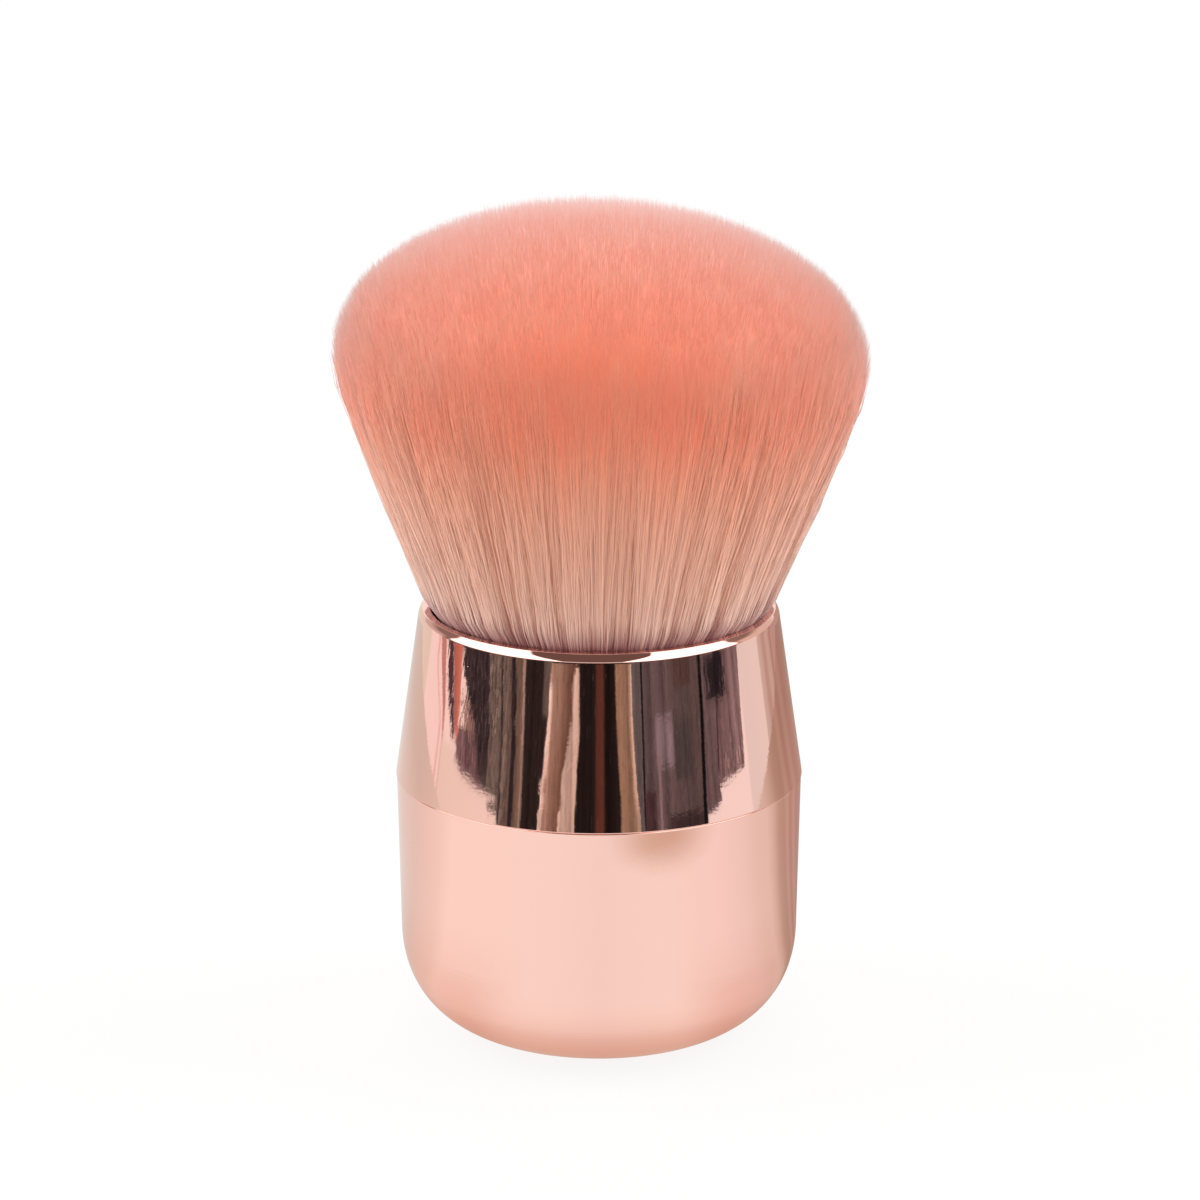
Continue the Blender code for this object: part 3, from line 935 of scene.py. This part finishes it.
def floor_reflection(nodes):
    """Painted table reflection: salmon bounce and shade by the foot, white ahead, beige behind, a dark
    patch.
    """
    position = nodes.add("NewGeometry").outputs["Position"]
    reach = nodes.length(position)
    across, away = nodes.split(position)
    azimuth = nodes.math("ARCTAN2", across, nodes.math("MULTIPLY", away, -1.0))
    stops = [(metres / REACH_TINTS_END, tint) for metres, tint in REACH_TINTS]
    by_reach = nodes.ramp(nodes.math("MULTIPLY", reach, 1 / REACH_TINTS_END), stops)
    stops = [((degrees + 180) / 360, tint) for degrees, tint in AZIMUTH_TINTS]
    by_azimuth = nodes.ramp(nodes.span(azimuth, (-math.pi, math.pi), (0, 1)), stops)
    table = nodes.product(by_reach, by_azimuth)
    # A dark oval patch painted into the reflection
    patched = nodes.mix(dark_patch_factor(nodes, azimuth, reach), table, DARK_PATCH_TINT, "MULTIPLY")
    aside = nodes.span(nodes.math("ABSOLUTE", azimuth), SHADE_AZIMUTHS, (0, 1), True)
    inward = nodes.span(reach, SHADE_REACHES, (1, 0), True)
    return nodes.mix(nodes.math("MULTIPLY", aside, inward), patched, SHADE_TINT, "MULTIPLY")


def make_floor():
    """A pale floor with a soft shadow, which runs out to white and glows a painted reflection for the
    mirror.
    """
    material, nodes, shader = new_material("pale_floor")
    material.cycles.emission_sampling = "NONE"
    matt = nodes.fed(shader, {
        "Base Color": FLOOR_COLOUR,
        "Roughness": FLOOR_ROUGHNESS,
        "Specular IOR Level": 0.0,
    }, "BSDF")
    ray = nodes.add("LightPath").outputs
    share = nodes.math("MULTIPLY", ray["Is Camera Ray"], FLOOR_GLOW_SHARE)
    lit = nodes.blend(share, matt, nodes.glow((1, 1, 1)))
    nodes.finish(nodes.blend(ray["Is Glossy Ray"], lit, nodes.glow(floor_reflection(nodes))))
    shape = bmesh.new()
    bmesh.ops.create_circle(shape, cap_ends=True, segments=FLOOR_SEGMENTS, radius=FLOOR_RADIUS)
    add_object("floor", finished_mesh("floor", shape, material))


def streaks(azimuth, rng, spacing):
    """Smooth random values from -1 to 1 along the azimuth, which change about once per spacing."""
    knots = rng.uniform(-1, 1, int(360 / spacing) + 2)
    at = (azimuth + 180) / spacing
    low = np.floor(at).astype(int)
    ease = smoothstep(0, 1, at - low)
    return knots[low] * (1 - ease) + knots[low + 1] * ease


def speckle(shape, rng, block):
    """Random values that each fill a block of neighbouring places."""
    coarse = rng.normal(0, 1, [-(-size // step) for size, step in zip(shape, block)])
    return coarse.repeat(block[0], axis=0).repeat(block[1], axis=1)[:shape[0], :shape[1]]


def lay(colour, tint, cover):
    """Lays a tint over an array of colours, as far as the cover says."""
    colour[:] = colour * (1 - cover[..., None]) + tint * cover[..., None]


class Panorama:
    """Colours on a grid of azimuths and bands, painted bar by bar, with random values for ragged edges."""

    def __init__(self, azimuth, band, rough, colour):
        self.azimuth = azimuth
        self.band = band
        self.rough = rough
        self.colour = np.empty((*azimuth.shape, 3))
        self.colour[:] = colour

    def edge(self, *points):
        """Azimuths of an edge that runs through (band, azimuth) points."""
        bands, azimuths = zip(*points)
        return np.interp(self.band, bands, azimuths)

    def paint(self, left, right, tint, soft, tint_right=None, low=-9, high=9, ragged=0.0, fade=0.02):
        """Lays a bar between two edges and two bands, shaded from its left tint to its right one."""
        cover = between(left, right, soft, self.azimuth + ragged * self.rough)
        cover *= between(low, high, fade, self.band)
        across = np.clip((self.azimuth - left) / np.maximum(right - left, NARROWEST_BAR), 0, 1)[..., None]
        shade = np.array(tint) * (1 - across) + np.array(tint_right or tint) * across
        lay(self.colour, shade, cover)


def paint_walls(room):
    """The pale walls at both sides, with their stripes."""
    edge, paint = room.edge, room.paint
    paint(-180, -124, (0.80, 0.80, 0.72), 4)
    paint(-124, -100, (0.96, 0.90, 0.91), 1)
    left = edge((0.5, -104), (0.8, -114.5))
    right = edge((0.5, -102.5), (0.8, -112.5))
    paint(left, right, (0.82, 0.62, 0.64), 0.8)
    left = edge((0.45, -100), (0.66, -103.9), (0.9, -111.4))
    right = edge((0.45, -99), (0.66, -100.5), (0.93, -106))
    paint(left, right, (0.55, 0.29, 0.28), 0.8)
    paint(-180, -120, (0.66, 0.68, 0.62), 6, (0.76, 0.75, 0.70), high=0.3)
    paint(-100, -40, (0.85, 0.82, 0.79), 2, (0.95, 0.93, 0.92), high=0.45)
    paint(60, 91, (0.95, 0.97, 1.0), 3)
    paint(91, 112.5, (0.80, 0.84, 0.87), 1, (0.84, 0.85, 0.85))
    paint(112.5, 180, (0.53, 0.42, 0.38), 1, (0.46, 0.32, 0.28))
    paint(112.5, 117.5, (0.64, 0.60, 0.58), 0.8, (0.56, 0.50, 0.48))
    paint(122, 127, (0.58, 0.50, 0.46), 0.8)
    paint(129, 131, (0.44, 0.30, 0.27), 0.6)


def dark_room_cover(room):
    """Where the dark room shows, from 0 to 1. Its near end is ragged on the left and crisp on the right."""
    left = room.edge(
        (0.18, -56), (0.2, -62), (0.24, -63), (0.26, -56), (0.28, -60), (0.32, -72), (0.34, -80),
        (0.37, -85), (0.42, -87), (0.56, -89), (0.6, -87), (0.63, -79), (0.66, -78), (0.72, -81),
        (0.81, -83), (0.87, -87), (1.06, -89), (1.3, -90))
    right = room.edge(
        (0.18, 60), (0.2, 66), (0.23, 70), (0.32, 69), (0.34, 75), (0.36, 88), (0.56, 89), (0.76, 90),
        (1.04, 91.5))
    ragged, crisp = [room.azimuth + share * room.rough for share in END_RAGGEDNESS]
    soft, sharp = END_SOFTNESS
    cover = smoothstep(left - soft, left + soft, ragged)
    return cover * (1 - smoothstep(right - sharp, right + sharp, crisp))


def paint_streaks(room):
    """Brown streaks and a thin pale line, on the left of the dark room."""
    edge, paint = room.edge, room.paint
    right = edge((0.25, -62), (0.34, -68), (0.6, -73.5))
    paint(-95, right, (0.155, 0.105, 0.125), 1.2, high=0.62, ragged=0.8)
    left = edge((0.3, -63.5), (0.64, -64.5), (1.12, -68.4))
    right = edge((0.3, -55.5), (0.66, -56.6), (1.14, -60.2))
    paint(left, right, (0.145, 0.13, 0.125), 0.5, (0.175, 0.165, 0.15), ragged=0.3)
    for left_azimuths, right_azimuths, tint, soft, tint_right in (
        ((-54.5, -55.4, -59), (-49.5, -50, -53.2), (0.175, 0.16, 0.145), 0.5, (0.13, 0.11, 0.10)),
        ((-46.8, -47.1, -50.6), (-42.8, -43.5, -45.8), (0.14, 0.115, 0.10), 0.5, (0.16, 0.125, 0.10)),
        ((-43.2, -43.7, -45.6), (-42, -42.4, -44), (0.27, 0.24, 0.21), 0.4, None),
    ):
        left = edge(*zip(STREAK_BANDS, left_azimuths))
        right = edge(*zip(STREAK_BANDS, right_azimuths))
        paint(left, right, tint, soft, tint_right, ragged=0.2)
    paint(edge(*zip(STREAK_BANDS, (-41.2, -41.8, -43))), -27, (0.026, 0.022, 0.022), 0.4)
    paint(-32.2, -27.5, (0.125, 0.115, 0.105), 0.6, low=0.78)


def paint_uprights(room):
    """Two pale uprights with a brown one between, then a red-brown one and one with a pale right side."""
    edge, paint = room.edge, room.paint
    outer_left = edge((0.22, -32.6), (0.31, -31.1), (0.37, -32.5), (0.44, -30.5), (0.56, -30.2), (0.76, -29),
                      (0.99, -28.5), (1.11, -27.6))
    middle = edge((0.21, -21.7), (0.32, -20), (0.38, -20.7), (0.48, -19.1), (0.64, -17.5), (0.76, -14.7),
                  (1.01, -15.2), (1.08, -12.5))
    outer_right = edge((0.21, -12.9), (0.35, -12.1), (0.52, -11.6), (0.68, -10.6), (1.08, -11.3))
    paint(outer_left, middle, (0.44, 0.34, 0.28), 0.35, (0.15, 0.085, 0.06), high=1.1, ragged=0.2)
    bright = outer_left + 2.3
    paint(outer_left, bright, (0.94, 0.88, 0.84), 0.35, (0.62, 0.52, 0.46), high=0.94, ragged=0.2)
    paint(middle, outer_right, (0.66, 0.59, 0.53), 0.35, (0.52, 0.46, 0.41), high=1.07, ragged=0.2)
    paint(outer_right, 12, (0.015, 0.012, 0.012), 0.4)
    paint(-1.9, 3.0, (0.095, 0.04, 0.031), 0.9, high=1.09)

    left = edge((0.21, 11.7), (0.52, 10.7), (0.76, 9.9), (1.1, 9.2))
    right = edge((0.21, 22), (0.36, 20.6), (0.56, 19.8), (0.76, 18.9), (1.1, 19))
    paint(left, right, (0.27, 0.20, 0.145), 0.6, (0.21, 0.16, 0.115), high=1.1, ragged=0.1)
    paint(right - 2.2, right, (0.30, 0.24, 0.18), 0.35, (0.66, 0.57, 0.48), high=1.08, ragged=0.1)
    paint(right, 24.1, (0.117, 0.122, 0.13), 0.4)
    paint(24.1, 25.2, (0.010, 0.010, 0.012), 0.3)


def paint_panels(room):
    """Mauve panels on the right of the dark room."""
    edge, paint = room.edge, room.paint
    paint(25.2, 61, (0.112, 0.100, 0.112), 0.3, (0.100, 0.086, 0.090))
    paint(32, 42, (0.21, 0.195, 0.235), 1, low=0.5, high=0.77)
    paint(42.5, 52.5, (0.071, 0.070, 0.074), 0.8, low=0.42, high=0.76)
    paint(44, 55, (0.09, 0.065, 0.062), 1.5, low=0.93)
    paint(24.8, 31, (0.07, 0.048, 0.055), 0.4, high=0.36)
    paint(32.6, 34.1, (0.20, 0.165, 0.19), 0.4, high=0.55)
    paint(38, 60, (0.045, 0.035, 0.04), 1, high=0.222)
    line = edge((0.2, 57.6), (0.48, 58.5), (0.8, 60), (1.08, 60.5))
    paint(line + 1, 72, (0.135, 0.115, 0.130), 0.6)
    paint(line, line + 2.1, (0.008, 0.008, 0.009), 0.3)
    pink = edge((0.45, 69.3), (0.79, 71.5), (1.06, 77.4))
    paint(pink, 100, (0.15, 0.115, 0.125), 0.8, (0.36, 0.30, 0.33), ragged=0.5)
    paint(pink - 0.6, pink + 0.5, (0.06, 0.04, 0.06), 0.3, low=0.4, high=0.84)
    paint(66, 78.5, (0.018, 0.017, 0.022), 1.5, low=0.82, high=1.08, ragged=1.8)


def add_grain(room, rng):
    """Vertical streaks all over, grain at the two ragged ends, and a few painted glints."""
    grainy = smoothstep(*GRAINY_RIGHT_AZIMUTHS, room.azimuth) * (1 - smoothstep(*GRAINY_RIGHT_BANDS, room.band))
    grainy = np.maximum(grainy, 1 - smoothstep(*GRAINY_LEFT_AZIMUTHS, room.azimuth))
    grain = sum((depth * streaks(room.azimuth, rng, spacing) for spacing, depth in STREAK_LAYERS), 1)
    grain += (GRAIN_DEPTHS[0] + GRAIN_DEPTHS[1] * grainy) * room.rough
    glints = rng.random(room.azimuth.shape) > 1 - GLINT_CHANCE
    room.colour *= np.clip(grain, *STREAK_LIMITS)[..., None]
    room.colour += GRAIN_GLOW * (grainy * np.abs(room.rough))[..., None]
    room.colour[glints] += GLINT_GLOW


def paint_fringe(room):
    """Purple and red streaks and a tan patch, just outside the ragged end of the dark room."""
    edge, paint = room.edge, room.paint
    left = edge((0.49, -91), (0.6, -94.5), (0.77, -99.5), (0.97, -104))
    right = edge((0.49, -90), (0.6, -90.5), (0.77, -94), (1, -98))
    paint(left, right, (0.085, 0.05, 0.065), 0.5, low=0.5, ragged=0.9)
    left = edge((0.57, -90), (0.75, -93.5), (1, -98))
    right = edge((0.57, -87), (0.75, -88), (0.9, -89), (1.06, -89.5))
    paint(left, right, (0.42, 0.15, 0.13), 0.5, (0.62, 0.26, 0.20), low=0.54, ragged=0.6)
    left = edge((0.62, -84), (0.78, -87))
    right = edge((0.6, -75), (0.66, -76), (0.72, -80), (0.8, -84))
    paint(left, right, (0.30, 0.22, 0.20), 1.2, low=0.6, high=0.8, ragged=2.2)


def room_colours(azimuth, height, rng):
    """Painted reflection the mirror sees round the brush: a dark room with tan uprights, between pale walls.

    The band counts up from the foot of the stretch that the collar mirrors, which ends at about 1.15.
    """
    band = (height - BAND_LOW * np.cos(np.radians(azimuth))) / BAND_HEIGHT
    room = Panorama(azimuth, band, speckle(azimuth.shape, rng, SPECKLE_BLOCK), WALL_COLOUR)
    paint_walls(room)
    walls = room.colour.copy()
    room.colour[:] = DARK_COLOUR
    paint_streaks(room)
    paint_uprights(room)
    paint_panels(room)
    add_grain(room, rng)
    lay(room.colour, walls, 1 - dark_room_cover(room))
    paint_fringe(room)
    return np.clip(room.colour, 0, 1)


def ceiling_colours(azimuth, elevation):
    """Painted reflection over the room: dim, bright behind, and a highlight window for the lip, less in its
    middle.
    """
    dome = Panorama(azimuth, elevation, 0, CEILING_COLOUR)
    dome.paint(-75, 60, (0.15, 0.10, 0.09), 4, low=WINDOW_LOW, high=WINDOW_HIGH, fade=4)
    dome.paint(97, 190, (0.74, 0.62, 0.56), 4, low=-90, high=20, fade=4)
    dome.paint(-190, -112, (0.62, 0.52, 0.50), 4, low=-90, high=14, fade=4)
    slit_top = np.interp(azimuth, WINDOW_SLIT_AZIMUTHS, WINDOW_SLIT_TOPS)
    window_top = np.where(slit_top > WINDOW_SLIT_END, WINDOW_HIGH, slit_top)
    dome.paint(*WINDOW_SIDES, WINDOW_GLOW, 2, low=WINDOW_LOW, high=window_top, fade=2)
    lay(dome.colour, np.array(BEHIND_COLOUR), smoothstep(*BEHIND_AZIMUTHS, np.abs(azimuth)))
    return dome.colour


def make_card(name, places, colours):
    """A glowing stage card of painted reflection, from grids of places and colours, that only the mirror
    sees.
    """
    rows, columns = places.shape[0] - 1, places.shape[1] - 1
    width = columns + 1
    corner = (np.arange(rows)[:, None] * width + np.arange(columns)[None, :]).ravel()
    faces = np.stack([corner, corner + 1, corner + width + 1, corner + width], axis=1)
    mesh = bpy.data.meshes.new(name)
    mesh.from_pydata(places.reshape(-1, 3).tolist(), [], faces.tolist())
    layer = mesh.color_attributes.new("seen", "FLOAT_COLOR", "POINT")
    rgba = np.concatenate([colours.reshape(-1, 3), np.ones((places.size // 3, 1))], axis=1)
    layer.data.foreach_set("color", rgba.astype(np.float32).ravel())
    material, nodes, shader = new_material(name)
    material.cycles.emission_sampling = "NONE"
    nodes.tree.nodes.remove(shader)
    nodes.finish(nodes.glow(nodes.add("VertexColor", layer_name="seen").outputs["Color"]))
    mesh.materials.append(material)
    card = add_object(name, mesh)
    card.visible_camera = False
    card.visible_diffuse = False
    card.visible_shadow = False
    card.visible_transmission = False


def make_room_cards():
    """Painted reflections: a tube of room round the brush and a dome over it."""
    rng = np.random.default_rng(SEED + 1)
    azimuth, height = np.meshgrid(
        np.linspace(-180, 180, ROOM_COLUMNS + 1), np.linspace(ROOM_LOW, ROOM_HEIGHT, ROOM_ROWS + 1))
    places = ROOM_RADIUS * direction(azimuth, np.zeros_like(azimuth))
    places[..., 2] = height
    make_card("room_card", places, room_colours(azimuth, height, rng))

    azimuth, elevation = np.meshgrid(
        np.linspace(-180, 180, CEILING_COLUMNS + 1), np.linspace(CEILING_LOW, 90, CEILING_ROWS + 1))
    places = CEILING_RADIUS * direction(azimuth, elevation)
    places[..., 2] += RIM_HEIGHT
    make_card("ceiling_card", places, ceiling_colours(azimuth, elevation))


def make_world():
    """White for what sees the backdrop, and a plain soft fill for the rest."""
    world = bpy.data.worlds.new("studio")
    bpy.context.scene.world = world
    world.use_nodes = True
    nodes = Nodes(world.node_tree)
    ray = nodes.add("LightPath").outputs
    seen = nodes.math("MAXIMUM", ray["Is Camera Ray"], ray["Is Glossy Ray"])
    strength = nodes.span(seen, (0, 1), (SKY_STRENGTH, 1.0))
    nodes.fed(world.node_tree.nodes["Background"], {"Color": (1, 1, 1), "Strength": strength}, "Background")


def make_lights():
    """A key on the left, a fill on the right and a low back light, all round and soft."""
    for name, azimuth, elevation, power in LAMPS:
        lamp = bpy.data.lights.new(name, "AREA")
        lamp.shape = "DISK"
        lamp.size = LAMP_SIZE
        lamp.energy = power
        aim(add_object(name, lamp), LAMP_TARGET, azimuth, elevation, LAMP_DISTANCE)


make_camera()
make_collar()
make_base()
dress_inner_nodes()
make_glue_face()
make_bristles()
make_heart()
make_floor()
make_room_cards()
make_world()
make_lights()

bpy.context.scene.view_settings.view_transform = "Standard"
